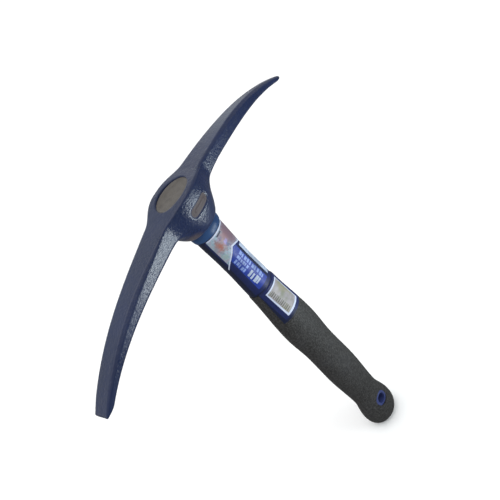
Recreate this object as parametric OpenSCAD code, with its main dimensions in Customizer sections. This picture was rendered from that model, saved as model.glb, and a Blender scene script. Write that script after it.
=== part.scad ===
// Prospecting rock pick: forged double-ended head on a jacketed fibreglass handle with a rubber grip.
// Millimetres. Z runs up the handle from the butt to the eye, X points to the pick arm, Y is across.

/* [Overall] */
// Height from the butt to the flat top of the eye, mm
total_h = 360; // [320:1:420]
// Length of each arm from the handle axis to its end, mm
arm_l = 157; // [120:1:190]
// Ratio of the handle's width across Y to its width along X
oval = 0.8; // [0.7:0.01:1]

/* [Head arms] */
// Half width of the chisel arm where it meets the eye, mm
chisel_w0 = 11.5; // [9:0.1:16]
// Half width of the chisel edge, mm
chisel_w1 = 7.4; // [4:0.1:12]
// Depth of the chisel arm at the eye, mm
chisel_h0 = 17.5; // [10:0.1:22]
// Depth of the chisel arm before the ground bevel, mm
chisel_h1 = 6.7; // [3:0.1:10]
// Extra depth at the middle of the chisel arm, mm
chisel_belly = 0.7; // [0:0.1:2]
// Length of the bevel ground on the underside of the chisel, mm
bevel_l = 10; // [8:0.5:30]
// Thickness left at the chisel's cutting edge, mm
edge_t = 1.4; // [0.4:0.1:3]
// Half width of the pick arm where it meets the eye, mm
pick_w0 = 12.6; // [8:0.1:16]
// Half width of the pick arm just before its point, mm
pick_w1 = 2.7; // [1:0.1:6]
// Depth of the pick arm at the eye, mm
pick_h0 = 16.5; // [10:0.1:22]
// Depth of the pick arm just before its point, mm
pick_h1 = 4.2; // [2:0.1:8]
// Extra depth of the pick arm two thirds of the way out, mm
pick_belly = 2.2; // [0:0.1:4]
// Width of the bevel along the long edges of the arms, mm
arm_bevel = 2.8; // [0.5:0.1:4]

/* [Droop of the arms] */
// Slope of the chisel arm at the eye
chisel_s1 = 0.1447; // [0:0.001:0.4]
// Flattening of the chisel arm along its middle, per mm
chisel_s2 = 0.00113; // [0:0.00001:0.003]
// Hook of the chisel arm towards its edge, per million square mm
chisel_s3 = 11.77; // [2:0.05:20]
// Slope of the pick arm at the eye
pick_s1 = 0.0828; // [0:0.001:0.4]
// Flattening of the pick arm along its middle, per mm
pick_s2 = 0.00093; // [0:0.00001:0.003]
// Hook of the pick arm towards its point, per million square mm
pick_s3 = 11.2; // [2:0.05:20]

/* [Eye barrel] */
// Height of the barrel round the eye, mm
eye_h = 35.8; // [25:0.1:60]
// Half length of the barrel along X at its widest, mm
boss_a = 29.4; // [24:0.1:40]
// Half width of the barrel along Y at its widest, mm
boss_b = 19.8; // [15:0.1:30]
// Half length of the barrel along X at its bottom rim, mm
rim_a = 18.2; // [15:0.1:30]
// Half width of the barrel along Y at its bottom rim, mm
rim_b = 14.6; // [12:0.1:25]
// Half length of the eye opening at the top, mm
eye_a = 16.8; // [12:0.1:22]
// Half width of the eye opening at the top, mm
eye_b = 13.4; // [9:0.1:18]
// Depth of the resin's surface below the rim of the eye, mm
resin_drop = 2.8; // [0.5:0.1:6]
// Depth of the pressed mark on each side of the barrel, mm
mark_depth = 0.7; // [0.2:0.1:1.5]
// Distance of the pressed mark's middle below the top of the eye, mm
mark_drop = 15; // [10:0.5:25]

/* [Handle] */
// Half width of the jacket in the middle of the neck, mm
neck_a = 12.65; // [9:0.05:18]
// Half width of the jacket inside the eye and inside the grip, mm
tail_a = 12.2; // [8:0.05:16]
// Half width of the fibreglass core, mm
core_a = 8.6; // [5:0.1:11]
// Height above the butt at which the core starts, mm
core_z = 44; // [30:1:80]
// Height of the collar under the barrel, mm
collar_h = 8.3; // [3:0.1:12]
// Half width of the collar, mm
collar_a = 14.7; // [13:0.1:20]

/* [Grip] */
// Height of the grip's upper edge above the butt, mm
grip_top = 241; // [180:1:280]
// Half width of the grip at its upper edge, mm
grip_a0 = 14.5; // [13:0.1:20]
// Half width of the grip at the palm swell, mm
swell_a = 18.5; // [15:0.1:24]
// Half width of the grip at its waist, mm
waist_a = 17.1; // [14:0.1:22]
// Half width of the grip at the rear swell, mm
rear_a = 17.95; // [15:0.1:24]
// Half width of the grip at the throat above the knob, mm
throat_a = 16.1; // [13:0.1:22]
// Half width of the end knob, mm
knob_a = 19.7; // [16:0.1:26]
// Height of the rounding at the butt, mm
knob_h = 18; // [10:0.5:20]

/* [Hanging hole] */
// Diameter of the hanging hole, mm
hole_d = 10.4; // [6:0.1:14]
// Outside diameter of the liner round the hanging hole, mm
liner_d = 15.4; // [10:0.1:20]
// Height of the hanging hole above the butt, mm
hole_z = 34; // [24:0.5:45]

/* [Label] */
// Height of the label's upper edge above the butt, mm
label_top = 315; // [280:1:318]
// Height of the label's lower edge above the butt, mm
label_bot = 202; // [180:1:230]
// Thickness of the label film, mm
film_t = 0.3; // [0.1:0.05:0.6]
// Angle that the label's tongue covers on the grip, degrees
tongue_deg = 114; // [60:2:180]
// Height of the price panel's lower edge above the butt, mm
panel_bot = 206; // [190:1:230]
// Height of the price panel's upper edge above the butt, mm
panel_top = 239; // [225:1:240]
// Angle that the price panel covers, degrees
panel_deg = 76; // [40:2:110]

/* [Hidden] */
skin = 0.05;
rim_z = total_h - eye_h;
jacket_top = total_h - 8.5;
core_top = jacket_top;
tail_z = 9;
n_ring = 48;
steel = [0.16, 0.19, 0.33];
navy = [0.08, 0.12, 0.28];

function clamp01(t) = min(1, max(0, t));
function ease(t) = let (c = clamp01(t)) c * c * (3 - 2 * c);
function mix(a, b, t) = a + (b - a) * t;
function blend(a, b, z0, z1, z) = mix(a, b, ease((z - z0) / (z1 - z0)));
function cubic(u, s1, s2, s3) = s1 * u - s2 * u * u + s3 * pow(u, 3) / 1000000;
function droop(u, side) = ease((u - 1) / 26) *
    (side < 0 ? cubic(u, chisel_s1, chisel_s2, chisel_s3) : cubic(u, pick_s1, pick_s2, pick_s3));
function arm_w(u, side) = let (t = u / arm_l) side < 0
    ? mix(chisel_w0, chisel_w1, 0.05 * t + 0.95 * t * t)
    : (mix(pick_w0, pick_w1, t) + 1.8 * sin(180 * t) * (1 - t))
        * (1 - 0.5 * pow(clamp01((u - arm_l + 7) / 7), 2));
function web(u) = 8 * pow(1 - clamp01((u - 16) / 24), 2);
function arm_h(u, side) = let (t = u / arm_l) side < 0
    ? mix(mix(chisel_h0, chisel_h1, t) + chisel_belly * sin(180 * t), edge_t,
        pow(clamp01((u - arm_l + bevel_l) / bevel_l), 1.6)) + web(u)
    : (mix(pick_h0, pick_h1, t) + pick_belly * sin(180 * clamp01((t - 0.3) / 0.7)))
        * (1 - 0.45 * pow(clamp01((u - arm_l + 7) / 7), 2)) + web(u);
// Width of the bevel on an arm's upper long edges, narrow at the eye and widest halfway out.
function top_bevel(u, side) = side < 0 ? max(0.8, arm_bevel - 1.25 * pow((u - 90) / 45, 2))
    : mix(1.2, 0.77 * arm_bevel, ease((u - 30) / 60));

// Half width of the grip at height z, from the butt's flat to its upper edge.
function knob_round(z) = sqrt(max(0, 1 - pow(clamp01((knob_h - z) / knob_h), 2.2)));
function grip_a(z) =
    z < knob_h ? mix(0.45 * knob_a, knob_a, knob_round(z)) :
    z < 20 ? knob_a :
    z < 47 ? blend(knob_a, throat_a, 20, 47, z) :
    z < 97 ? blend(throat_a, rear_a, 47, 97, z) :
    z < 140 ? blend(rear_a, waist_a, 97, 140, z) :
    z < 174 ? blend(waist_a, swell_a, 140, 174, z) :
    blend(swell_a, grip_a0, 174, 247, z) - (z > grip_top - 2 ? 0.8 * pow((z - grip_top + 2) / 2, 2) : 0);
// Half width of the jacket at height z, between the grip and the collar.
function neck_r(z) = z < 275 ? blend(13.5, neck_a, 243, 275, z) : blend(neck_a, 13.3, 285, 314, z);
// Inner face of the label at height z: on the neck above the grip, on the rubber below its edge.
function film_r(z) = skin +
    (z > grip_top + 1 ? neck_r(z) : max(neck_r(grip_top), grip_a(min(z, grip_top - 2))));

// A closed solid through rings that all hold the same number of points.
module loft(rings) {
    n = len(rings[0]);
    m = len(rings);
    polyhedron(points = [for (r = rings) each r],
        faces = concat([[for (i = [0:n - 1]) i]],
            [for (k = [0:m - 2]) for (i = [0:n - 1])
                let (a = k * n + i, b = k * n + (i + 1) % n) each [[a, b + n, b], [a, a + n, b + n]]],
            [[for (i = [n - 1:-1:0]) (m - 1) * n + i]]), convexity = 8);
}

function oval_ring(a, b, z) = [for (i = [0:n_ring - 1])
    let (q = 360 * i / n_ring) [a * cos(q), b * sin(q), z]];

// A straight oval bar between two heights.
module oval_bar(a, z0, z1) translate([0, 0, z0])
    linear_extrude(height = z1 - z0) scale([1, oval]) circle(r = a, $fn = 96);

// A round bar along Y through the hanging hole.
module cross_hole(d) translate([0, 0, hole_z]) rotate([90, 0, 0])
    cylinder(d = d, h = 70, center = true, $fn = 96);

// Section across an arm: flat top and bottom, bevelled long edges, sides that lean in below.
function arm_ring(u, side) =
    let (w = arm_w(u, side), h = arm_h(u, side), t = total_h - droop(u, side),
         c = min(top_bevel(u, side), 0.42 * w, 0.3 * h), r = min(1.5, 0.3 * w, 0.25 * h), k = 0.35 * r,
         lean = min(0.06 * w + 0.35 * web(u), 0.6 * w), x = side * u,
         half = [[w - c, 0], [w - 0.5 * c, -0.5 * c], [w, -c], [w - 0.5 * lean, -0.55 * h],
                 [w - lean, -(h - r)], [w - lean - k, -(h - k)], [w - lean - r, -h]])
    concat([for (p = half) [x, -side * p[0], t + p[1]]],
           [for (i = [6:-1:0]) [x, side * half[i][0], t + half[i][1]]]);

module arm(side) {
    stops = [for (i = [0:13]) 8 + 2.4 * i, for (i = [1:20]) 39.2 + (arm_l - 18 - 39.2) * i / 20,
             for (i = [1:9]) arm_l - 18 + 2 * i];
    loft([for (u = stops) arm_ring(u, side)]);
}

// Swell of the barrel's wall: 1 at its widest, falling to 0 at the bottom rim.
function barrel_f(q) = q < 0.16 ? 1 - 0.022 * pow(1 - q / 0.16, 2) : 1 - pow((q - 0.16) / 0.84, 1.9);

module barrel(grow = 0) {
    loft(concat([oval_ring(rim_a - 1.2 + grow, rim_b - 1.2 + grow, rim_z),
                 oval_ring(rim_a - 0.3 + grow, rim_b - 0.3 + grow, rim_z + 0.4)],
        [for (i = [0:16]) let (q = 1 - i / 16, z = total_h - 1 - q * (eye_h - 2.2), f = barrel_f(q))
            oval_ring(mix(rim_a, boss_a, f) + grow, mix(rim_b, boss_b, f) + grow, z)],
        [oval_ring(boss_a - 2.4 + grow, boss_b - 2.1 + grow, total_h + 0.5)]));
}

// Everything over the head's curved top line, so the barrel's top runs on into both arms.
module over_top() rotate([90, 0, 0]) linear_extrude(height = 60, center = true) {
    stops = [0, 2, 4, 6, for (i = [0:10]) 8 + 2.4 * i];
    polygon(concat([for (i = [14:-1:0]) [-stops[i], total_h - droop(stops[i], -1)]],
                   [for (i = [1:14]) [stops[i], total_h - droop(stops[i], 1)]],
                   [[32, total_h + 3], [-32, total_h + 3]]));
}

// The tapered opening of the eye, from its bottom to height z1, smaller by gap all round.
function eye_t(z) = clamp01((z - rim_z) / eye_h);
function eye_ring(z, gap) = oval_ring(mix(tail_a + 1.2, eye_a, eye_t(z)) - gap,
    mix(tail_a * oval + 1.1, eye_b, eye_t(z)) - gap, z);

// A long rounded recess with a plain raised bar in it, following the side of the barrel.
module mark_prism(grow) {
    z = total_h - mark_drop;
    for (side = [-1, 1]) translate([0, side * 10, z]) rotate([-side * 90, 0, 0])
        linear_extrude(height = 20) hull() {
            translate([-6.6, 0]) circle(r = 4.4 + grow, $fn = 32);
            translate([6.6, 0]) circle(r = 4.4 + grow, $fn = 32);
        }
}

module pressed_marks() difference() {
    mark_prism(0);
    barrel(-mark_depth);
    intersection() {
        mark_prism(-3.0);
        barrel(-0.1);
    }
}

module head() color(steel) difference() {
    union() {
        difference() {
            barrel();
            over_top();
        }
        arm(-1);
        arm(1);
    }
    loft([eye_ring(rim_z - 0.5, 0), for (i = [1:4]) eye_ring(rim_z + eye_h * i / 4, 0),
          eye_ring(total_h + 0.5, 0)]);
    pressed_marks();
}

module eye_resin() color([0.42, 0.41, 0.38]) difference() {
    loft([for (i = [0:6]) eye_ring(mix(rim_z + skin, total_h - resin_drop, i / 6), skin)]);
    oval_bar(tail_a + skin, rim_z - 1, jacket_top + skin);
}

module core_rod() color([0.85, 0.8, 0.62]) oval_bar(core_a, core_z, core_top);

function neck_profile() = [for (i = [0:12])
    let (z = mix(grip_top + 0.4, rim_z - 0.6, i / 12)) [neck_r(z), z]];
function jacket_profile() = concat(
    [[0, tail_z], [tail_a - 1.5, tail_z], [tail_a, tail_z + 1.5], [tail_a, grip_top + 0.4]],
    neck_profile(),
    [[tail_a, rim_z - 0.6], [tail_a, jacket_top - 0.8], [tail_a - 0.8, jacket_top], [0, jacket_top]]);

module handle_jacket() color(navy) difference() {
    scale([1, oval, 1]) rotate_extrude($fn = 60) polygon(jacket_profile());
    oval_bar(core_a + skin, core_z - skin, core_top + skin);
    cross_hole(liner_d + 2 * skin);
}

module collar_ring() color([0.2, 0.36, 0.62]) scale([1, oval, 1]) rotate_extrude($fn = 60)
    polygon([[neck_r(rim_z - 1) + 0.1, rim_z - 0.7], [neck_r(rim_z - collar_h) + 0.1, rim_z - collar_h],
        [collar_a - 0.9, rim_z - collar_h], [collar_a - 0.25, rim_z - collar_h + 1],
        [collar_a, rim_z - collar_h + 2.6],
        [collar_a + 0.4, rim_z - 2.6], [collar_a + 0.3, rim_z - 1.1], [collar_a - 0.2, rim_z - skin],
        [neck_r(rim_z - 1) - 0.6, rim_z - skin], [neck_r(rim_z - 1) - 0.6, rim_z - 0.55],
        [neck_r(rim_z - 1) + 0.1, rim_z - 0.55]]);

function grip_stops() = [for (i = [0:6]) knob_h * (1 - cos(90 * i / 6)),
    for (i = [1:3]) knob_h + (22.8 - knob_h) * i / 3,
    for (i = [1:26]) 22.8 + (grip_top - 2 - 22.8) * i / 26, grip_top - 1.2, grip_top - 0.5, grip_top];

module grip() color([0.13, 0.13, 0.14]) difference() {
    scale([1, oval, 1]) rotate_extrude($fn = 60)
        polygon(concat([[0, 0]], [for (z = grip_stops()) [grip_a(z), z]],
            [[tail_a + skin, grip_top], [tail_a + skin, tail_z - skin], [0, tail_z - skin]]));
    cross_hole(liner_d + 2 * skin);
}

module hang_liner() color([0.23, 0.29, 0.47]) difference() {
    intersection() {
        cross_hole(liner_d);
        cube([60, 2 * oval * grip_a(hole_z) - 1.0, 200], center = true);
    }
    cross_hole(hole_d);
}

// A thin band of film between two heights, lift above the label's inner face.
function band(z0, z1, steps, lift, t) = concat(
    [for (i = [0:steps]) let (z = mix(z0, z1, i / steps)) [film_r(z) + lift, z]],
    [for (i = [steps:-1:0]) let (z = mix(z0, z1, i / steps)) [film_r(z) + lift + t, z]]);

module neck_label() color([0.14, 0.2, 0.6]) scale([1, oval, 1]) {
    rotate_extrude($fn = 60) polygon(band(grip_top + 1.05, label_top, 12, 0, film_t));
    rotate([0, 0, -90 - tongue_deg / 2]) rotate_extrude(angle = tongue_deg, $fn = 96)
        polygon(band(label_bot, grip_top + 1.1, 14, 0, film_t));
}

module price_panel() color([0.8, 0.82, 0.85]) scale([1, oval, 1])
    rotate([0, 0, -90 - panel_deg / 2]) rotate_extrude(angle = panel_deg, $fn = 96)
        polygon(band(panel_bot, panel_top, 10, film_t + skin, 0.2));

head();
eye_resin();
core_rod();
handle_jacket();
collar_ring();
grip();
hang_liner();
neck_label();
price_panel();
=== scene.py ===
import bpy
import math
import numpy as np
from mathutils import Matrix, Vector


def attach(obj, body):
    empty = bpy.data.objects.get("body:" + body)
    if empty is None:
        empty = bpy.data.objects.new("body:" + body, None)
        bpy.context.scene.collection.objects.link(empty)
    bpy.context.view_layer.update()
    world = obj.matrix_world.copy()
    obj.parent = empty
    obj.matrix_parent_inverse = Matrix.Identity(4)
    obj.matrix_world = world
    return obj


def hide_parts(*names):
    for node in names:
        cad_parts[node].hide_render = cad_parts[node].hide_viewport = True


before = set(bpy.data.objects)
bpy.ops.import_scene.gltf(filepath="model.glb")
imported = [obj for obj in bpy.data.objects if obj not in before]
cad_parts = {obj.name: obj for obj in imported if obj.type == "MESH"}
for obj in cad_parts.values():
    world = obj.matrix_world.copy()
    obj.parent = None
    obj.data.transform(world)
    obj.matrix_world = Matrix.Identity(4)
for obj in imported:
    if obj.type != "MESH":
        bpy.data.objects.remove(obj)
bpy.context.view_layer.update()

MM = 0.001

# ---------------------------------------------------------------- sizes, in mm and degrees
# Every size that the CAD names too has the CAD's value.
TOTAL_H, ARM_L, OVAL = 360.0, 157.0, 0.8
CHISEL_W0, CHISEL_W1, CHISEL_H0, CHISEL_H1, CHISEL_BELLY = 11.5, 7.4, 17.5, 6.7, 0.7
PICK_W0, PICK_W1, PICK_H0, PICK_H1, PICK_BELLY = 12.6, 2.7, 16.5, 4.2, 2.2
BEVEL_L, EDGE_T, TIP_L, ARM_BEVEL = 10.0, 1.4, 7.0, 2.8
EYE_H, BOSS_A, BOSS_B, RIM_A, RIM_B = 35.8, 29.4, 19.8, 18.2, 14.6
EYE_A, EYE_B, RESIN_DROP = 16.8, 13.4, 2.8
NECK_A, TAIL_A, TAIL_Z, JACKET_DROP = 12.65, 12.2, 9.0, 8.5
COLLAR_H, COLLAR_A = 8.3, 14.7
GRIP_TOP, GRIP_A0, SWELL_A, WAIST_A, REAR_A, THROAT_A = 241.0, 14.5, 18.5, 17.1, 17.95, 16.1
KNOB_A, KNOB_H = 19.7, 18.0
HOLE_D, LINER_D, HOLE_Z = 10.4, 15.4, 34.0
LABEL_TOP, LABEL_BOT, FILM_T, TONGUE_DEG = 315.0, 202.0, 0.3, 114.0
PANEL_BOT, PANEL_TOP, PANEL_DEG, PANEL_T = 206.0, 239.0, 76.0, 0.2
MARK_DROP, MARK_DEPTH, MARK_L, MARK_R = 15.0, 0.7, 6.6, 4.4
RIM_Z = TOTAL_H - EYE_H
SKIN, INK_T = 0.05, 0.015
# the azimuth that the tongue and the panel face
FACING = -90.0


def clamp01(t):
    return np.clip(t, 0.0, 1.0)


def ease(t):
    t = clamp01(t)
    return t * t * (3 - 2 * t)


def mix(a, b, t):
    return a + (b - a) * t


def blend(a, b, z0, z1, z):
    """a below z0, b above z1, and an eased change between them."""
    return mix(a, b, ease((z - z0) / (z1 - z0)))


def smax(a, b, k):
    """The larger of two values, rounded off where they differ by less than k."""
    h = np.maximum(k - np.abs(a - b), 0.0) / k
    return np.maximum(a, b) + h * h * k * 0.25


def smin(a, b, k):
    """The smaller of two values, rounded off in the same way."""
    return -smax(-a, -b, k)


def droop(u, chisel):
    """How far an arm's top lies below the eye's top, u mm out."""
    c = 0.1447 * u - 0.00113 * u * u + 11.77e-6 * u ** 3
    p = 0.0828 * u - 0.00093 * u * u + 11.2e-6 * u ** 3
    return ease((u - 1) / 26) * np.where(chisel, c, p)


# ---------------------------------------------------------------- the head, as one distance field
def barrel_swell(q):
    """0 at the barrel's lower rim, 1 at its widest. q runs from 0 at the top to 1 at the rim."""
    return np.where(q < 0.16, 1 - 0.022 * (1 - q / 0.16) ** 2, 1 - clamp01((q - 0.16) / 0.84) ** 1.9)


def oval_dist(x, y, a, b):
    """About the distance to an ellipse with half axes a and b, negative inside."""
    rho = np.sqrt((x / a) ** 2 + (y / b) ** 2) + 1e-9
    grad = np.sqrt((x / a ** 2) ** 2 + (y / b ** 2) ** 2) / rho + 1e-9
    return (rho - 1) / grad


def head_field(x, y, z):
    """Distance to the head's surface in mm, negative inside."""
    u = np.abs(x)
    chisel = x < 0
    t = clamp01(u / ARM_L)
    tip = clamp01((u - ARM_L + TIP_L) / TIP_L) ** 2
    bevel = clamp01((u - ARM_L + BEVEL_L) / BEVEL_L) ** 1.6
    # half width and depth of the arm's section
    pick_w = (mix(PICK_W0, PICK_W1, t) + 1.8 * np.sin(math.pi * t) * (1 - t)) * (1 - 0.5 * tip)
    w = np.where(chisel, mix(CHISEL_W0, CHISEL_W1, 0.05 * t + 0.95 * t * t), pick_w)
    chisel_h = mix(mix(CHISEL_H0, CHISEL_H1, t) + CHISEL_BELLY * np.sin(math.pi * t), EDGE_T, bevel)
    pick_h = mix(PICK_H0, PICK_H1, t) + PICK_BELLY * np.sin(math.pi * clamp01((t - 0.3) / 0.7))
    h = np.where(chisel, chisel_h, pick_h * (1 - 0.45 * tip))
    web = 8 * (1 - clamp01((u - 16) / 24)) ** 2
    h = h + 0.6 * web
    top = TOTAL_H - droop(u, chisel)
    du = 0.5
    slope = (droop(u + du, chisel) - droop(u - du, chisel)) / (2 * du)
    cosine = 1 / np.sqrt(1 + slope ** 2)
    # width of the bevel on the upper long edges, and of the small one below
    chisel_crown = np.maximum(0.8, ARM_BEVEL - 1.25 * ((u - 90) / 45) ** 2)
    crown = np.where(chisel, chisel_crown, mix(1.2, 2.15, ease((u - 30) / 60)))
    crown = np.minimum(np.minimum(crown, 0.42 * w), 0.3 * h)
    foot = np.minimum(np.minimum(1.7, 0.3 * w), 0.25 * h)
    depth = top - z
    lean = np.minimum(0.06 * w + 0.2 * web, 0.5 * w) * ease(depth / np.maximum(h, 1e-3))
    wall = np.abs(y) - (w - lean)
    up = (z - top) * cosine
    down = (top - h - z) * cosine
    arm = smax(wall, down, 0.4)
    arm = smax(arm, (wall + down + foot) / math.sqrt(2), 0.8)
    arm = smax(arm, (u - ARM_L + 0.2) * cosine, np.where(chisel, 0.3, 1.2))
    q = clamp01((TOTAL_H - 1 - z) / (EYE_H - 2.2))
    f = barrel_swell(q)
    barrel = oval_dist(x, y, mix(RIM_A, BOSS_A, f), mix(RIM_B, BOSS_B, f))
    barrel = smax(barrel, RIM_Z - z, 2.4)
    side = smin(arm, barrel, 6.0)
    body = smax(side, (side + up + crown) / math.sqrt(2), 0.6)
    body = smax(body, up, 0.6)
    # the pressed marks on both sides, with a plain raised bar in each
    zm = z - (TOTAL_H - MARK_DROP)
    lozenge = np.hypot(np.maximum(np.abs(x) - MARK_L, 0), zm) - MARK_R
    bar = np.hypot(np.maximum(np.abs(x) - MARK_L + 1, 0), zm) - 1.2
    inside = clamp01(0.5 - lozenge / 0.9)
    raised = clamp01(0.5 - bar / 0.9)
    body = body + np.where(np.abs(y) > 10, MARK_DEPTH * inside - 0.4 * raised, 0.0)
    te = clamp01((z - RIM_Z) / EYE_H)
    eye = oval_dist(x, y, mix(TAIL_A + 1.2, EYE_A, te), mix(TAIL_A * OVAL + 1.1, EYE_B, te))
    return smax(body, -eye, 1.1)


def surface_nets(field, lo, hi, step):
    """A smooth quad mesh of field = 0 inside a box, by naive surface nets."""
    n = [int(math.ceil((hi[i] - lo[i]) / step)) + 1 for i in range(3)]
    ax = [lo[i] + step * np.arange(n[i]) for i in range(3)]
    v = np.empty(n, dtype=np.float32)
    for i0 in range(0, n[0], 40):
        g = np.meshgrid(ax[0][i0:i0 + 40], ax[1], ax[2], indexing="ij")
        v[i0:i0 + 40] = field(*g)
    inside = v < 0
    acc = np.zeros([n[0] - 1, n[1] - 1, n[2] - 1, 3], dtype=np.float32)
    cnt = np.zeros([n[0] - 1, n[1] - 1, n[2] - 1], dtype=np.float32)
    for axis in range(3):
        a = [slice(None)] * 3
        b = [slice(None)] * 3
        a[axis], b[axis] = slice(0, -1), slice(1, None)
        va, vb = v[tuple(a)], v[tuple(b)]
        cross = inside[tuple(a)] != inside[tuple(b)]
        frac = np.where(cross, va / np.where(cross, va - vb, 1), 0)
        others = [k for k in range(3) if k != axis]
        for p in (0, 1):
            for r in (0, 1):
                s = [slice(None)] * 3
                s[others[0]] = slice(p, n[others[0]] - 1 + p)
                s[others[1]] = slice(r, n[others[1]] - 1 + r)
                cc = cross[tuple(s)]
                acc[..., axis] += np.where(cc, frac[tuple(s)], 0)
                acc[..., others[0]] += cc * p
                acc[..., others[1]] += cc * r
                cnt += cc
    used = cnt > 0
    index = -np.ones(cnt.shape, dtype=np.int64)
    index[used] = np.arange(used.sum())
    cell = np.argwhere(used)
    pts = cell + acc[used] / cnt[used][:, None]
    pts = pts * step + np.array(lo)
    quads = []
    for axis in range(3):
        o1, o2 = (axis + 1) % 3, (axis + 2) % 3
        a = [slice(None)] * 3
        b = [slice(None)] * 3
        a[axis], b[axis] = slice(0, -1), slice(1, None)
        ia, ib = inside[tuple(a)], inside[tuple(b)]
        e = np.argwhere(ia != ib)
        e = e[(e[:, o1] > 0) & (e[:, o2] > 0) & (e[:, o1] < n[o1] - 1) & (e[:, o2] < n[o2] - 1)]
        flip = ib[tuple(e.T)]
        c = []
        for d1, d2 in ((1, 1), (0, 1), (0, 0), (1, 0)):
            k = e.copy()
            k[:, o1] -= d1
            k[:, o2] -= d2
            c.append(index[tuple(k.T)])
        f = np.stack(c, 1)
        f[flip] = f[flip][:, ::-1]
        quads.append(f)
    return pts, np.concatenate(quads)


def project(pts, field, rounds=4):
    """Moves points onto field = 0 along its gradient."""
    e = 0.05
    for _ in range(rounds):
        x, y, z = pts.T
        v = field(x, y, z)
        g = np.stack([field(x + e, y, z) - field(x - e, y, z), field(x, y + e, z) - field(x, y - e, z),
                      field(x, y, z + e) - field(x, y, z - e)], 1) / (2 * e)
        g2 = np.maximum((g ** 2).sum(1), 0.3)
        pts = pts - np.clip(v / g2, -0.4, 0.4)[:, None] * g
    return pts


def make(name, pts, faces, mats, sharp=None):
    """A smooth shaded mesh object. pts are in mm, edges sharper than sharp degrees stay crisp."""
    me = bpy.data.meshes.new(name)
    if isinstance(faces, np.ndarray):
        faces = faces.tolist()
    me.from_pydata((np.asarray(pts) * MM).tolist(), [], faces)
    me.validate()
    me.update()
    ob = bpy.data.objects.new(name, me)
    bpy.context.scene.collection.objects.link(ob)
    for m in (mats if isinstance(mats, list) else [mats]):
        me.materials.append(m)
    me.shade_smooth()
    if sharp:
        me.set_sharp_from_angle(angle=math.radians(sharp))
    return ob


# ---------------------------------------------------------------- materials
class Nodes:
    """A small helper that builds one node material."""

    def __init__(self, name):
        self.mat = bpy.data.materials.new(name)
        self.mat.use_nodes = True
        self.t = self.mat.node_tree
        self.bsdf = self.t.nodes["Principled BSDF"]
        tc = self.t.nodes.new("ShaderNodeTexCoord")
        self.obj = tc.outputs["Object"]

    def add(self, kind, **props):
        n = self.t.nodes.new(kind)
        for k, v in props.items():
            if k == "inputs":
                for a, b in v.items():
                    if isinstance(b, bpy.types.NodeSocket):
                        self.t.links.new(b, n.inputs[a])
                    else:
                        n.inputs[a].default_value = b
            else:
                setattr(n, k, v)
        return n

    def noise(self, scale, detail=2.0, rough=0.5, distortion=0.0):
        settings = {"Vector": self.obj, "Scale": scale, "Detail": detail, "Roughness": rough,
                    "Distortion": distortion}
        return self.add("ShaderNodeTexNoise", inputs=settings).outputs["Fac"]

    def ramp(self, fac, stops):
        r = self.add("ShaderNodeValToRGB", inputs={"Fac": fac})
        els = r.color_ramp.elements
        while len(els) < len(stops):
            els.new(0.5)
        for e, (p, c) in zip(els, stops):
            e.position = p
            e.color = (*c, 1)
        return r.outputs["Color"]

    def math(self, op, a, b=0.0):
        n = self.add("ShaderNodeMath", operation=op)
        for i, v in enumerate((a, b)):
            if isinstance(v, bpy.types.NodeSocket):
                self.t.links.new(v, n.inputs[i])
            else:
                n.inputs[i].default_value = v
        return n.outputs[0]

    def maprange(self, v, a, b, c, d):
        settings = {"Value": v, "From Min": a, "From Max": b, "To Min": c, "To Max": d}
        return self.add("ShaderNodeMapRange", inputs=settings).outputs["Result"]

    def distance(self, x, y, z):
        """Distance in m from a point given in mm."""
        at = (x * MM, y * MM, z * MM)
        n = self.add("ShaderNodeVectorMath", operation="DISTANCE", inputs={0: self.obj, 1: at})
        return n.outputs["Value"]

    def mixc(self, fac, a, b):
        n = self.add("ShaderNodeMix", data_type="RGBA")
        for i, v in ((0, fac), (6, a), (7, b)):
            if isinstance(v, bpy.types.NodeSocket):
                self.t.links.new(v, n.inputs[i])
            else:
                n.inputs[i].default_value = v if i == 0 else (*v, 1)
        return n.outputs[2]

    def set(self, **vals):
        for k, v in vals.items():
            k = k.replace("_", " ")
            s = self.bsdf.inputs[k]
            if isinstance(v, bpy.types.NodeSocket):
                self.t.links.new(v, s)
            else:
                s.default_value = (*v, 1) if isinstance(v, tuple) and len(v) == 3 else v

    def bump(self, height, strength, distance, normal=None):
        b = self.add("ShaderNodeBump", inputs={"Height": height, "Strength": strength, "Distance": distance})
        if normal is not None:
            self.t.links.new(normal, b.inputs["Normal"])
        return b.outputs["Normal"]


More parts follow.
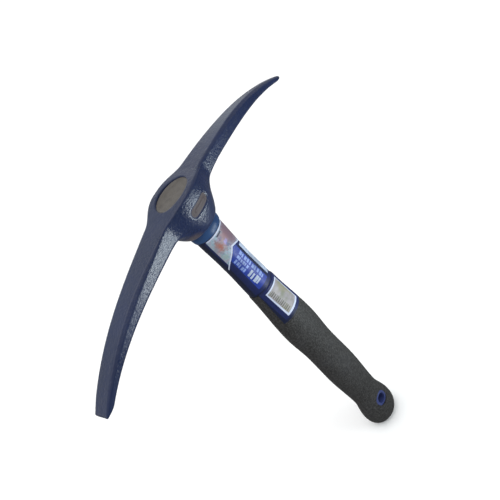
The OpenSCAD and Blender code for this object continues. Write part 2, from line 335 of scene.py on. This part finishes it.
def paint_material():
    """Thick navy enamel with an orange-peel surface."""
    n = Nodes("navy_enamel")
    fine = n.noise(1500, 2, 0.55)
    mid = n.noise(170, 3, 0.6)
    wide = n.noise(28, 3, 0.5)
    col = n.ramp(wide, [(0.3, (0.0018, 0.0090, 0.042)), (0.7, (0.0035, 0.0125, 0.056))])
    col = n.mixc(n.maprange(mid, 0.45, 0.75, 0, 0.35), col, (0.008, 0.016, 0.040))
    # the pressed marks are rubbed back to a dull brown primer
    xyz = n.add("ShaderNodeSeparateXYZ", inputs={"Vector": n.obj}).outputs
    over = n.math("MAXIMUM", n.math("SUBTRACT", n.math("ABSOLUTE", xyz["X"]), MARK_L * MM))
    rise = n.math("SUBTRACT", xyz["Z"], (TOTAL_H - MARK_DROP) * MM)
    away = n.math("SQRT", n.math("ADD", n.math("MULTIPLY", over, over), n.math("MULTIPLY", rise, rise)))
    deep = n.math("GREATER_THAN", n.math("ABSOLUTE", xyz["Y"]), 10 * MM)
    mark = n.math("MULTIPLY", n.maprange(away, (MARK_R - 0.2) * MM, (MARK_R - 1.0) * MM, 0.0, 0.85), deep)
    col = n.mixc(mark, col, (0.058, 0.042, 0.040))
    # a painted warm reflection low on the barrel
    off = n.distance(-15.5, -6, RIM_Z + 2)
    painted_reflection = n.maprange(n.math("ADD", off, n.math("MULTIPLY", mid, 0.004)), 0.007, 0.011, 0.6, 0.0)
    col = n.mixc(painted_reflection, col, (0.075, 0.055, 0.048))
    nb = n.bump(mid, 0.3, 0.0008)
    nb = n.bump(n.noise(560, 3, 0.6), 0.4, 0.0007, nb)
    nb = n.bump(fine, 0.3, 0.0002, nb)
    rough = n.maprange(wide, 0.3, 0.7, 0.25, 0.34)
    n.set(Base_Color=col, Roughness=n.math("ADD", rough, n.math("MULTIPLY", mark, 0.35)), Normal=nb)
    n.set(IOR=1.5, Specular_IOR_Level=0.4)
    return n.mat


def resin_material():
    n = Nodes("eye_resin_cast")
    a = n.noise(160, 4, 0.6)
    b = n.noise(900, 2, 0.5)
    col = n.ramp(a, [(0.3, (0.056, 0.050, 0.044)), (0.55, (0.082, 0.073, 0.064)),
                     (0.8, (0.070, 0.065, 0.062))])
    n.set(Base_Color=col, Roughness=n.maprange(b, 0.3, 0.7, 0.42, 0.6), Normal=n.bump(a, 0.3, 0.0008))
    n.set(IOR=1.5)
    return n.mat


def plastic_material(name, dark, light, rough=0.35, spec=0.25):
    n = Nodes(name)
    a = n.noise(60, 3, 0.5)
    b = n.noise(1800, 2, 0.5)
    col = n.ramp(a, [(0.3, dark), (0.75, light)])
    n.set(Base_Color=col, Roughness=n.maprange(a, 0.3, 0.7, rough - 0.04, rough + 0.05))
    n.set(Normal=n.bump(b, 0.12, 0.0001), IOR=1.5, Specular_IOR_Level=spec)
    return n.mat


def rubber_material():
    n = Nodes("grip_rubber_grain")
    cells = n.add("ShaderNodeTexVoronoi", feature="F1", inputs={"Vector": n.obj, "Scale": 900.0})
    cell = cells.outputs["Distance"]
    fine = n.noise(2200, 2, 0.5)
    pebble = n.noise(620, 3, 0.6)
    wide = n.noise(45, 4, 0.55)
    col = n.ramp(wide, [(0.3, (0.014, 0.014, 0.014)), (0.55, (0.021, 0.021, 0.021)),
                        (0.8, (0.027, 0.028, 0.032))])
    col = n.mixc(n.maprange(cell, 0.2, 0.7, 0.0, 0.35), col, (0.007, 0.007, 0.007))
    col = n.mixc(n.maprange(pebble, 0.42, 0.66, 0.0, 0.8), col, (0.046, 0.046, 0.046))
    nb = n.bump(pebble, 0.6, 0.0009)
    nb = n.bump(cell, 0.55, 0.00030, nb)
    nb = n.bump(fine, 0.25, 0.00012, nb)
    n.set(Base_Color=col, Roughness=n.maprange(wide, 0.3, 0.8, 0.5, 0.62), Normal=nb)
    n.set(IOR=1.5, Specular_IOR_Level=0.2)
    return n.mat


def print_material(name, colour, vary=0.1):
    """One ink on the glossy film."""
    rough = 0.42
    n = Nodes(name)
    a = n.noise(90, 3, 0.5)
    b = n.noise(420, 2, 0.5)
    dark = tuple(c * (1 - vary) for c in colour)
    light = tuple(min(1, c * (1 + vary)) for c in colour)
    col = n.ramp(a, [(0.3, dark), (0.7, light)])
    n.set(Base_Color=col, Roughness=n.maprange(b, 0.3, 0.7, rough - 0.05, rough + 0.06))
    n.set(Normal=n.bump(b, 0.2, 0.0003), IOR=1.5, Specular_IOR_Level=0.22)
    return n.mat


M_PAINT = paint_material()
M_RESIN = resin_material()
M_JACKET = plastic_material("jacket_navy", (0.005, 0.012, 0.045), (0.008, 0.018, 0.060), 0.3)
M_COLLAR = plastic_material("collar_blue", (0.010, 0.032, 0.095), (0.020, 0.055, 0.140), 0.32, spec=0.15)
M_LINER = plastic_material("liner_blue", (0.022, 0.032, 0.105), (0.032, 0.043, 0.135), 0.4)
M_RUBBER = rubber_material()
M_CORE = plastic_material("glass_fibre", (0.55, 0.50, 0.33), (0.68, 0.62, 0.42), 0.4)


def picture_material():
    """A soft many-coloured print with no picture of anything in it."""
    n = Nodes("film_mottled")
    a = n.noise(330, 4, 0.65, distortion=0.8)
    b = n.noise(85, 2, 0.5)
    wobble = n.math("MULTIPLY", n.math("SUBTRACT", n.noise(300, 4, 0.65), 0.5), 0.013)
    col = n.ramp(a, [(0.30, (0.09, 0.12, 0.20)), (0.44, (0.17, 0.26, 0.31)), (0.54, (0.25, 0.30, 0.36)),
                     (0.62, (0.22, 0.16, 0.24)), (0.74, (0.30, 0.34, 0.44))])
    col = n.mixc(n.maprange(b, 0.46, 0.60, 0.0, 0.35), col, (0.24, 0.17, 0.19))
    # azimuth, height, inner and outer radius in mm, strength, colour
    spots = ((-60, 304, 7.0, 15.0, 0.9, (0.12, 0.070, 0.095)), (-92, 307, 2.0, 7.5, 0.8, (0.17, 0.085, 0.10)),
             (-122, 303, 1.5, 7.0, 0.95, (0.24, 0.095, 0.07)), (-141, 303, 0.5, 3.4, 0.7, (0.15, 0.20, 0.26)),
             (-98, 303, 0.4, 2.6, 0.8, (0.20, 0.19, 0.46)), (-92, 298, 0.6, 3.2, 0.85, (0.035, 0.055, 0.13)),
             (-104, 309, 0.4, 2.6, 0.7, (0.05, 0.07, 0.14)), (-134, 292, 1.2, 4.2, 0.7, (0.20, 0.26, 0.24)))
    for az, z, near, far, power, tint in spots:
        away = n.math("ADD", n.distance(*on_handle(az, z, FILM_T)), wobble)
        col = n.mixc(n.maprange(away, near * MM, far * MM, power, 0.0), col, tint)
    n.set(Base_Color=col, Roughness=n.maprange(b, 0.3, 0.7, 0.36, 0.46), Normal=n.bump(b, 0.1, 0.0002))
    n.set(IOR=1.5, Specular_IOR_Level=0.22)
    return n.mat


def silver_reflection_material():
    n = Nodes("film_silver_painted_reflections")
    a = n.noise(130, 3, 0.6)
    b = n.noise(75, 2, 0.5)
    # grey is the silver box's own colour; its faintly pink lightest tone and the yellow-green patches are
    # painted reflection
    col = n.ramp(a, [(0.3, (0.14, 0.15, 0.12)), (0.5, (0.20, 0.19, 0.20)), (0.7, (0.26, 0.25, 0.27))])
    col = n.mixc(n.maprange(b, 0.5, 0.68, 0.0, 0.6), col, (0.17, 0.17, 0.08))
    n.set(Base_Color=col, Roughness=n.maprange(b, 0.3, 0.7, 0.36, 0.46), Normal=n.bump(b, 0.1, 0.0002))
    n.set(IOR=1.5, Specular_IOR_Level=0.22)
    return n.mat


P_NAVY = print_material("film_navy", (0.004, 0.008, 0.030))
P_BLUE = print_material("film_deep_blue", (0.006, 0.012, 0.064))
P_MID = print_material("film_bright_blue", (0.008, 0.026, 0.20))
P_WHITE = print_material("film_white", (0.37, 0.41, 0.52), vary=0.06)
P_LILAC = print_material("film_lilac", (0.13, 0.19, 0.40), vary=0.35)
P_GREY = print_material("film_grey_bars", (0.085, 0.085, 0.075))
P_PALE = print_material("film_pale", (0.26, 0.31, 0.40), vary=0.25)
P_SILVER_REFLECT = silver_reflection_material()


# ---------------------------------------------------------------- handle surfaces
def knob_round(z):
    """0 at the butt's flat, 1 at the knob's full width."""
    return np.sqrt(np.maximum(0, 1 - clamp01((KNOB_H - z) / KNOB_H) ** 2.2))


def grip_a(z):
    """Half width of the grip at height z."""
    z = np.asarray(z, dtype=float)
    lip = np.where(z > GRIP_TOP - 2, 0.8 * ((z - GRIP_TOP + 2) / 2) ** 2, 0)
    limits = [z < KNOB_H, z < 20, z < 47, z < 97, z < 140, z < 174]
    parts = [mix(0.45 * KNOB_A, KNOB_A, knob_round(z)), KNOB_A + 0 * z, blend(KNOB_A, THROAT_A, 20, 47, z),
             blend(THROAT_A, REAR_A, 47, 97, z), blend(REAR_A, WAIST_A, 97, 140, z),
             blend(WAIST_A, SWELL_A, 140, 174, z)]
    return np.select(limits, parts, blend(SWELL_A, GRIP_A0, 174, 247, z) - lip)


def neck_r(z):
    """Half width of the jacket at height z, between the grip and the collar."""
    z = np.asarray(z, dtype=float)
    return np.where(z < 275, blend(13.5, NECK_A, 243, 275, z), blend(NECK_A, 13.3, 285, 314, z))


def film_r(z):
    """Half width at the label's inner face: on the neck above the grip, on the rubber below its edge."""
    z = np.asarray(z, dtype=float)
    low = np.maximum(neck_r(GRIP_TOP), grip_a(np.minimum(z, GRIP_TOP - 2)))
    return SKIN + np.where(z > GRIP_TOP + 1, neck_r(z), low)


def lathe(name, profile, mat, seg=160, close=False, sharp=35):
    """A revolve squashed to the handle's oval. profile is a list of (r, z); r 0 ends at a pole."""
    pts, faces, rings = [], [], []
    for r, z in profile:
        if r < 1e-6:
            rings.append([len(pts)])
            pts.append((0, 0, z))
        else:
            rings.append(list(range(len(pts), len(pts) + seg)))
            for i in range(seg):
                q = 2 * math.pi * i / seg
                pts.append((r * math.cos(q), OVAL * r * math.sin(q), z))
    pairs = list(zip(rings, rings[1:] + ([rings[0]] if close else [])))
    for a, b in (pairs if close else pairs[:len(rings) - 1]):
        for i in range(seg):
            j = (i + 1) % seg
            if len(a) == 1:
                faces.append((a[0], b[j], b[i]))
            elif len(b) == 1:
                faces.append((a[i], a[j], b[0]))
            else:
                faces.append((a[i], a[j], b[j], b[i]))
    return make(name, pts, faces, mat, sharp=sharp)


# ---------------------------------------------------------------- pieces
STEP = 0.62
pts, quads = surface_nets(head_field, (-159.0, -22.5, 311.0), (159.0, 22.5, 362.5), STEP)
pts = project(pts, head_field)
head = make("head_forging", pts, quads, M_PAINT)
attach(head, "root")
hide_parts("head")

# resin fill in the eye, slightly dished, with a meniscus at the wall
ring_n = 120
rp, rf = [], []
levels = [(1.0, mix(RIM_Z + 0.2, TOTAL_H - RESIN_DROP + 0.9, i / 8)) for i in range(9)]
for s, dz in ((0.985, 0.6), (0.95, 0.32), (0.88, 0.1), (0.7, -0.1), (0.45, -0.2), (0.2, -0.25)):
    levels.append((s, TOTAL_H - RESIN_DROP + dz + 0.1))
for s, z in levels:
    te = clamp01((z - RIM_Z) / EYE_H)
    a = (mix(TAIL_A + 1.2, EYE_A, te) - 0.06) * s
    b = (mix(TAIL_A * OVAL + 1.1, EYE_B, te) - 0.06) * s
    for i in range(ring_n):
        q = 2 * math.pi * i / ring_n
        wob = 0.05 * math.sin(3 * q + 4 * s) + 0.04 * math.sin(7 * q - 5 * s) if s < 0.99 else 0
        rp.append((a * math.cos(q), b * math.sin(q), z + wob))
for k in range(len(levels) - 1):
    for i in range(ring_n):
        j = (i + 1) % ring_n
        rf.append((k * ring_n + i, k * ring_n + j, (k + 1) * ring_n + j, (k + 1) * ring_n + i))
rp.append((0, 0, TOTAL_H - RESIN_DROP - 0.16))
last = (len(levels) - 1) * ring_n
for i in range(ring_n):
    rf.append((last + i, last + (i + 1) % ring_n, len(rp) - 1))
rf.append(tuple(range(ring_n))[::-1])
resin = make("resin_fill", rp, rf, M_RESIN, sharp=50)
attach(resin, "root")
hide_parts("eye_resin")

# jacket: tail, neck and tang
zs = np.linspace(GRIP_TOP + 0.4, RIM_Z - 0.6, 60)
top = TOTAL_H - JACKET_DROP
prof = [(0, TAIL_Z), (TAIL_A - 1.5, TAIL_Z), (TAIL_A, TAIL_Z + 1.5), (TAIL_A, GRIP_TOP + 0.2)]
prof += [(float(neck_r(z)), z) for z in zs]
prof += [(TAIL_A, RIM_Z - 0.5), (TAIL_A, top - 0.8), (TAIL_A - 0.8, top), (0, top)]
jacket = lathe("jacket_neck", prof, M_JACKET)

# collar
r0 = float(neck_r(RIM_Z - 3)) + 0.02
prof = [(r0, RIM_Z - COLLAR_H + 0.1), (r0 + 0.8, RIM_Z - COLLAR_H)]
for i in range(13):
    t = i / 12
    bulge = 0.75 * math.sin(math.pi * min(1, 0.15 + 0.85 * t)) ** 0.8
    prof.append((COLLAR_A - 0.5 + bulge + 0.15 * t, RIM_Z - COLLAR_H + 0.35 + t * (COLLAR_H - 0.8)))
prof += [(COLLAR_A - 1.0, RIM_Z - 0.08), (r0, RIM_Z - 0.08)]
collar = lathe("collar_bead", prof, M_COLLAR, close=True, sharp=40)
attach(collar, "root")
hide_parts("collar_ring")

# grip: outer skin, upper lip, inner wall
zs = np.concatenate([KNOB_H * (1 - np.cos(np.linspace(0, math.pi / 2, 22))),
                     np.linspace(KNOB_H + 0.8, GRIP_TOP - 2.2, 240),
                     np.linspace(GRIP_TOP - 2.0, GRIP_TOP, 7)])
prof = [(0, 0.0), (0.3 * KNOB_A, 0.0)] + [(float(grip_a(z)), float(z)) for z in zs]
low = TAIL_Z - 0.05
prof += [(TAIL_A + 0.6, GRIP_TOP), (TAIL_A + 0.05, GRIP_TOP - 0.3), (TAIL_A + 0.05, low), (0, low)]
grip = lathe("grip_sleeve", prof, M_RUBBER, seg=192, sharp=50)


def bore(obj):
    """Cuts the hanging hole's round opening for the liner, along Y, out of obj."""
    bpy.ops.mesh.primitive_cylinder_add(vertices=128, radius=(LINER_D / 2 + 0.05) * MM, depth=0.08,
                                        location=(0, 0, HOLE_Z * MM), rotation=(math.pi / 2, 0, 0))
    tool = bpy.context.object
    m = obj.modifiers.new("bore", "BOOLEAN")
    m.operation, m.solver, m.object = "DIFFERENCE", "EXACT", tool
    bpy.context.view_layer.objects.active = obj
    with bpy.context.temp_override(object=obj, active_object=obj, selected_objects=[obj]):
        bpy.ops.object.modifier_apply(modifier=m.name)
    bpy.data.objects.remove(tool)


for ob, node in ((jacket, "handle_jacket"), (grip, "grip")):
    bore(ob)
    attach(ob, "root")
    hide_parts(node)

# hanging hole liner: a tube whose ends are dished flush with the rubber, with rounded lips
lp, lf = [], []
seg = 96
half_y = OVAL * float(grip_a(HOLE_Z))
turns = [math.pi * k / 6 for k in range(7)]
stations = [((HOLE_D + LINER_D + (LINER_D - HOLE_D) * math.cos(q)) / 4, 0.55 * math.sin(q) - 0.55)
            for q in turns]
loop = [(r, -1, dy) for r, dy in stations] + [(r, 1, dy) for r, dy in stations[::-1]]
for r, side, dy in loop:
    for i in range(seg):
        q = 2 * math.pi * i / seg
        x, z = r * math.cos(q), r * math.sin(q)
        a = float(grip_a(HOLE_Z + z))
        wall = OVAL * a * math.sqrt(max(0, 1 - (x / a) ** 2))
        y = side * min(wall + dy + 0.15, half_y - 0.5)
        lp.append((x, y, HOLE_Z + z))
nl = len(loop)
for k in range(nl):
    for i in range(seg):
        j, m = (i + 1) % seg, (k + 1) % nl
        lf.append((k * seg + i, k * seg + j, m * seg + j, m * seg + i))
liner = make("hole_liner", lp, lf, M_LINER, sharp=50)
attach(liner, "root")
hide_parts("hang_liner")


# ---------------------------------------------------------------- label film and its printed layers
def on_handle(az, z, lift):
    """A point on the handle at azimuth az (degrees, -90 is -Y), height z, lift mm above the label's seat."""
    r = float(film_r(z)) + lift
    q = math.radians(az)
    return (r * math.cos(q), OVAL * r * math.sin(q), z)


def patch(corners, lift, mat_i, step=2.5, zstep=2.0):
    """A curved four-cornered layer of ink. corners are (az, z) anticlockwise from lower left."""
    (a0, z0), (a1, z1), (a2, z2), (a3, z3) = corners
    nu = max(1, int(math.ceil(max(abs(a1 - a0), abs(a2 - a3)) / step)))
    nv = max(1, int(math.ceil(max(abs(z3 - z0), abs(z2 - z1)) / zstep)))
    base, first = len(L_PTS), len(L_FACES)
    for height in (lift - INK_T, lift):
        for v in range(nv + 1):
            for u in range(nu + 1):
                s, t = u / nu, v / nv
                az = mix(mix(a0, a1, s), mix(a3, a2, s), t)
                z = mix(mix(z0, z1, s), mix(z3, z2, s), t)
                L_PTS.append(on_handle(az, z, height))

    def at(layer, u, v):
        return base + (layer * (nv + 1) + v) * (nu + 1) + u

    for v in range(nv):
        for u in range(nu):
            L_FACES.append((at(1, u, v), at(1, u + 1, v), at(1, u + 1, v + 1), at(1, u, v + 1)))
            L_FACES.append((at(0, u, v), at(0, u, v + 1), at(0, u + 1, v + 1), at(0, u + 1, v)))
        L_FACES.append((at(0, 0, v + 1), at(0, 0, v), at(1, 0, v), at(1, 0, v + 1)))
        L_FACES.append((at(0, nu, v), at(0, nu, v + 1), at(1, nu, v + 1), at(1, nu, v)))
    for u in range(nu):
        L_FACES.append((at(0, u, 0), at(0, u + 1, 0), at(1, u + 1, 0), at(1, u, 0)))
        L_FACES.append((at(0, u + 1, nv), at(0, u, nv), at(1, u, nv), at(1, u + 1, nv)))
    L_MATS.extend([mat_i] * (len(L_FACES) - first))


def rect(a0, a1, z0, z1, lift, mat_i):
    patch([(a0, z0), (a1, z0), (a1, z1), (a0, z1)], lift, mat_i)


def shell(name, zs, az0, az1, lift, thick, mat, full=False):
    """A thin film between two azimuths, closed on all sides."""
    n = 180 if full else max(2, int((az1 - az0) / 2))
    azs = [az0 + (az1 - az0) * i / n for i in range(n if full else n + 1)]
    pts, faces = [], []
    m = len(zs)
    for layer in (lift, lift + thick):
        for az in azs:
            for z in zs:
                pts.append(on_handle(az, float(z), layer))
    c = len(azs)
    off = c * m

    def idx(layer, i, k):
        return layer * off + (i % c) * m + k

    for i in range(c if full else c - 1):
        for k in range(m - 1):
            faces.append((idx(1, i, k), idx(1, i + 1, k), idx(1, i + 1, k + 1), idx(1, i, k + 1)))
            faces.append((idx(0, i, k), idx(0, i, k + 1), idx(0, i + 1, k + 1), idx(0, i + 1, k)))
        faces.append((idx(0, i, 0), idx(0, i + 1, 0), idx(1, i + 1, 0), idx(1, i, 0)))
        faces.append((idx(1, i, m - 1), idx(1, i + 1, m - 1), idx(0, i + 1, m - 1), idx(0, i, m - 1)))
    if not full:
        for k in range(m - 1):
            faces.append((idx(0, 0, k), idx(1, 0, k), idx(1, 0, k + 1), idx(0, 0, k + 1)))
            faces.append((idx(1, c - 1, k), idx(0, c - 1, k), idx(0, c - 1, k + 1), idx(1, c - 1, k + 1)))
    return make(name, pts, faces, mat, sharp=40)


t0, t1 = FACING - TONGUE_DEG / 2, FACING + TONGUE_DEG / 2
a0, a1 = FACING - PANEL_DEG / 2, FACING + PANEL_DEG / 2
zs = np.linspace(GRIP_TOP + 1.05, LABEL_TOP, 60)
wrap = shell("label_wrap", zs, 0, 360, 0, FILM_T, P_NAVY, full=True)
zs = np.linspace(LABEL_BOT, GRIP_TOP + 1.1, 40)
tongue = shell("label_tongue", zs, t0, t1, 0, FILM_T, P_BLUE)
for ob in (wrap, tongue):
    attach(ob, "root")
    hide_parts("neck_label")
zs = np.linspace(PANEL_BOT, PANEL_TOP, 30)
panel = shell("price_panel_film", zs, a0, a1, FILM_T + SKIN, PANEL_T, P_BLUE)
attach(panel, "root")
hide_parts("price_panel")

INK = [P_WHITE, P_PALE, P_LILAC, P_MID, P_GREY, P_SILVER_REFLECT, P_BLUE, P_NAVY, picture_material()]
WHITE, PALE, LILAC, MID, GREY, SILVER_REFLECT, BLUE, NAVY, MOTTLE = range(9)


def between(low, high, lift, mat_i):
    """Fills the strip between two lines of (az, z) points that share their azimuths."""
    for (a0, z0), (a1, z1), (_, h0), (_, h1) in zip(low, low[1:], high, high[1:]):
        patch([(a0, z0), (a1, z1), (a1, h1), (a0, h0)], lift, mat_i)


def dashes(a0, a1, z0, z1, count, lift, mat_i, phase=0.0):
    """A line of plain blocks of uneven length that runs down the handle."""
    pitch = (z0 - z1) / count
    for k in range(count):
        fill = 0.66 + 0.2 * math.sin(2.4 * k + phase)
        side = 0.14 * (a1 - a0) * math.sin(1.7 * k + phase)
        z = z0 - k * pitch
        rect(a0 + max(0, side), a1 + min(0, side), z - pitch * fill, z, lift, mat_i)


def printed(name):
    """Turns the patches drawn since the last call into one piece."""
    ob = make(name, L_PTS, L_FACES, INK, sharp=40)
    for p, i in zip(ob.data.polygons, L_MATS):
        p.material_index = i
    for drawn in (L_PTS, L_FACES, L_MATS):
        drawn.clear()
    return ob


L_PTS, L_FACES, L_MATS = [], [], []
T0 = FILM_T + 0.02
crest = [(-165, 279.5), (-150, 283.0), (-135, 286.2), (-110, 290.3), (-90, 294.2), (-70, 292.2),
         (-55, 290.2), (-22, 286.5)]
field = [(a, z) for a, z in crest if a >= -150]
rect(-158, -22, 243.5, 314.4, T0, BLUE)
between(field, [(a, 313.8) for a, z in field], T0 + 0.02, MOTTLE)
rect(-149, -22, 313.7, 314.9, T0 + 0.04, WHITE)
rect(-108, -84, 311.3, 312.7, T0 + 0.05, NAVY)
between([(a, z - 0.2) for a, z in crest], [(a, z + 1.3) for a, z in crest], T0 + 0.06, WHITE)
panel_top = [(-131, 286.3), (-110, 289.7), (-90, 293.6), (-74, 292.0)]
between([(a, 247.0) for a, z in panel_top], panel_top, T0 + 0.02, MID)
rect(-74, -64, 247, 289, T0 + 0.03, NAVY)
patch([(-60, 247), (4, 247), (4, 284), (-62, 288)], T0 + 0.03, PALE)
# plain blocks where the printing was
dashes(-128, -113, 284.0, 268.5, 5, T0 + 0.05, LILAC)
dashes(-109, -97, 285.0, 269.0, 6, T0 + 0.05, LILAC, phase=1.3)
dashes(-93, -77, 285.0, 250.0, 10, T0 + 0.05, LILAC, phase=2.1)
dashes(-125, -98, 265.5, 250.5, 4, T0 + 0.05, PALE, phase=3.2)
marks = printed("label_print")
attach(marks, "root")

# painted shade: the tongue's left and lower edges fade to dark
low = LABEL_BOT + 0.1
patch([(t0 + 0.2, low), (t0 + 14, low), (t0 + 1.5, GRIP_TOP), (t0 + 0.2, GRIP_TOP)], T0, NAVY)
patch([(t0 + 14, low), (-91, low), (-91, low + 2.5), (t0 + 12.5, low + 2.5)], T0, NAVY)
tongue_shade_patches = printed("tongue_painted_shade")
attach(tongue_shade_patches, "root")

# the panel: a white border, a silver field with painted reflections and a column of plain bars
T1 = FILM_T + SKIN + PANEL_T + 0.015
low, high = PANEL_BOT + 0.1, PANEL_TOP - 0.1
patch([(a0 + 8, low), (a1 - 0.2, low), (a1 - 0.2, high), (a0 + 1.5, high)], T1, WHITE)
low, high = PANEL_BOT + 2.2, PANEL_TOP - 1.6
patch([(a0 + 13.5, low), (a1 - 3, low), (a1 - 3, high), (a0 + 6, high)], T1 + 0.015, SILVER_REFLECT)
for k in range(12):
    z = PANEL_BOT + 4.5 + 2.2 * k
    slant = 0.2 * (z - PANEL_BOT)
    rect(a0 + 15.5 - slant, a0 + 33 - slant, z, z + 1.1 + 0.35 * math.sin(2.1 * k), T1 + 0.03, GREY)
bars = printed("panel_print")
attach(bars, "root")

# the core stays as the CAD's own solid
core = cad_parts["core_rod"]
for s in core.material_slots:
    s.material = M_CORE
if not core.material_slots:
    core.data.materials.append(M_CORE)

# ---------------------------------------------------------------- floor, light, camera
mf = bpy.data.materials.new("pale_floor")
mf.use_nodes = True
matt = mf.node_tree.nodes["Principled BSDF"].inputs
matt["Base Color"].default_value = (0.87, 0.87, 0.87, 1)
matt["Roughness"].default_value = 1.0
matt["Specular IOR Level"].default_value = 0.0
bpy.ops.mesh.primitive_plane_add(size=400, location=(0, 0, 0))
floor = bpy.context.object
floor.name = "floor"
floor.data.materials.append(mf)
floor.visible_glossy = False

world = bpy.data.worlds.new("studio")
bpy.context.scene.world = world
world.use_nodes = True
wt = world.node_tree
# dark below the horizon, pale at it, dimmer above it and bright overhead
sky = wt.nodes.new("ShaderNodeTexCoord")
height = wt.nodes.new("ShaderNodeSeparateXYZ")
tone = wt.nodes.new("ShaderNodeValToRGB")
wt.links.new(sky.outputs["Generated"], height.inputs["Vector"])
lift = wt.nodes.new("ShaderNodeMath")
lift.operation, lift.inputs[1].default_value = "ADD", 0.03
wt.links.new(height.outputs["Z"], lift.inputs[0])
wt.links.new(lift.outputs[0], tone.inputs["Fac"])
stops = ((0.0, 0.13), (0.004, 0.52), (0.23, 0.52), (0.45, 0.36), (0.81, 0.36), (0.95, 1.25))
while len(tone.color_ramp.elements) < len(stops):
    tone.color_ramp.elements.new(0.5)
for e, (at, v) in zip(tone.color_ramp.elements, stops):
    e.position, e.color = at, (v, v, v, 1)
wt.links.new(tone.outputs["Color"], wt.nodes["Background"].inputs["Color"])
wt.nodes["Background"].inputs["Strength"].default_value = 2.0


def area(name, loc, target, wide, tall, radiance, colour=(1, 1, 1)):
    """A rectangular soft light of the given radiance, facing target."""
    d = bpy.data.lights.new(name, "AREA")
    d.shape, d.size, d.size_y = "RECTANGLE", wide, tall
    d.energy, d.color = radiance * math.pi * wide * tall, colour
    o = bpy.data.objects.new(name, d)
    bpy.context.scene.collection.objects.link(o)
    o.location = loc
    o.rotation_euler = (Vector(target) - Vector(loc)).to_track_quat("-Z", "Y").to_euler()
    o.visible_camera = False


# camera: its right, down and ahead axes, and where the eye's top lies along each of them
right = Vector((0.40035, -0.73105, -0.55253))
down = Vector((-0.81271, -0.00470, -0.58266))
ahead = Vector((0.42336, 0.68231, -0.59601))
offset = Vector((-57.6853, -41.1839, 469.9351)) * MM
eye_top = Vector((0, 0, TOTAL_H * MM))
cam_d = bpy.data.cameras.new("camera")
cam_d.sensor_width = 36.0
cam_d.lens = 46.8
cam = bpy.data.objects.new("camera", cam_d)
bpy.context.scene.collection.objects.link(cam)
bpy.context.scene.camera = cam
pos = eye_top - (right * offset.x + down * offset.y + ahead * offset.z)
up, back = -down, -ahead
rot = Matrix((right, up, back)).transposed().to_4x4()
cam.matrix_world = Matrix.Translation(pos) @ rot
cam_d.clip_start, cam_d.clip_end = 0.02, 400

brow = Vector((0, 0, 0.35))
area("rear_softbox", (-0.2, 1.15, 1.12), brow, 1.6, 0.6, 0.30, (0.85, 0.98, 1.0))
area("right_softbox", (1.40, 1.10, 0.88), brow, 0.6, 0.45, 1.0, (0.76, 0.93, 1.0))
area("front_softbox", (0.120, -0.245, 0.135), brow, 0.176, 0.08, 13.5, (0.84, 0.96, 1.0))
area("low_softbox", (0.050, -0.25, 0.092), brow, 0.05, 0.045, 42.0, (0.9, 0.97, 1.0))

bpy.context.scene.view_settings.view_transform = "Standard"
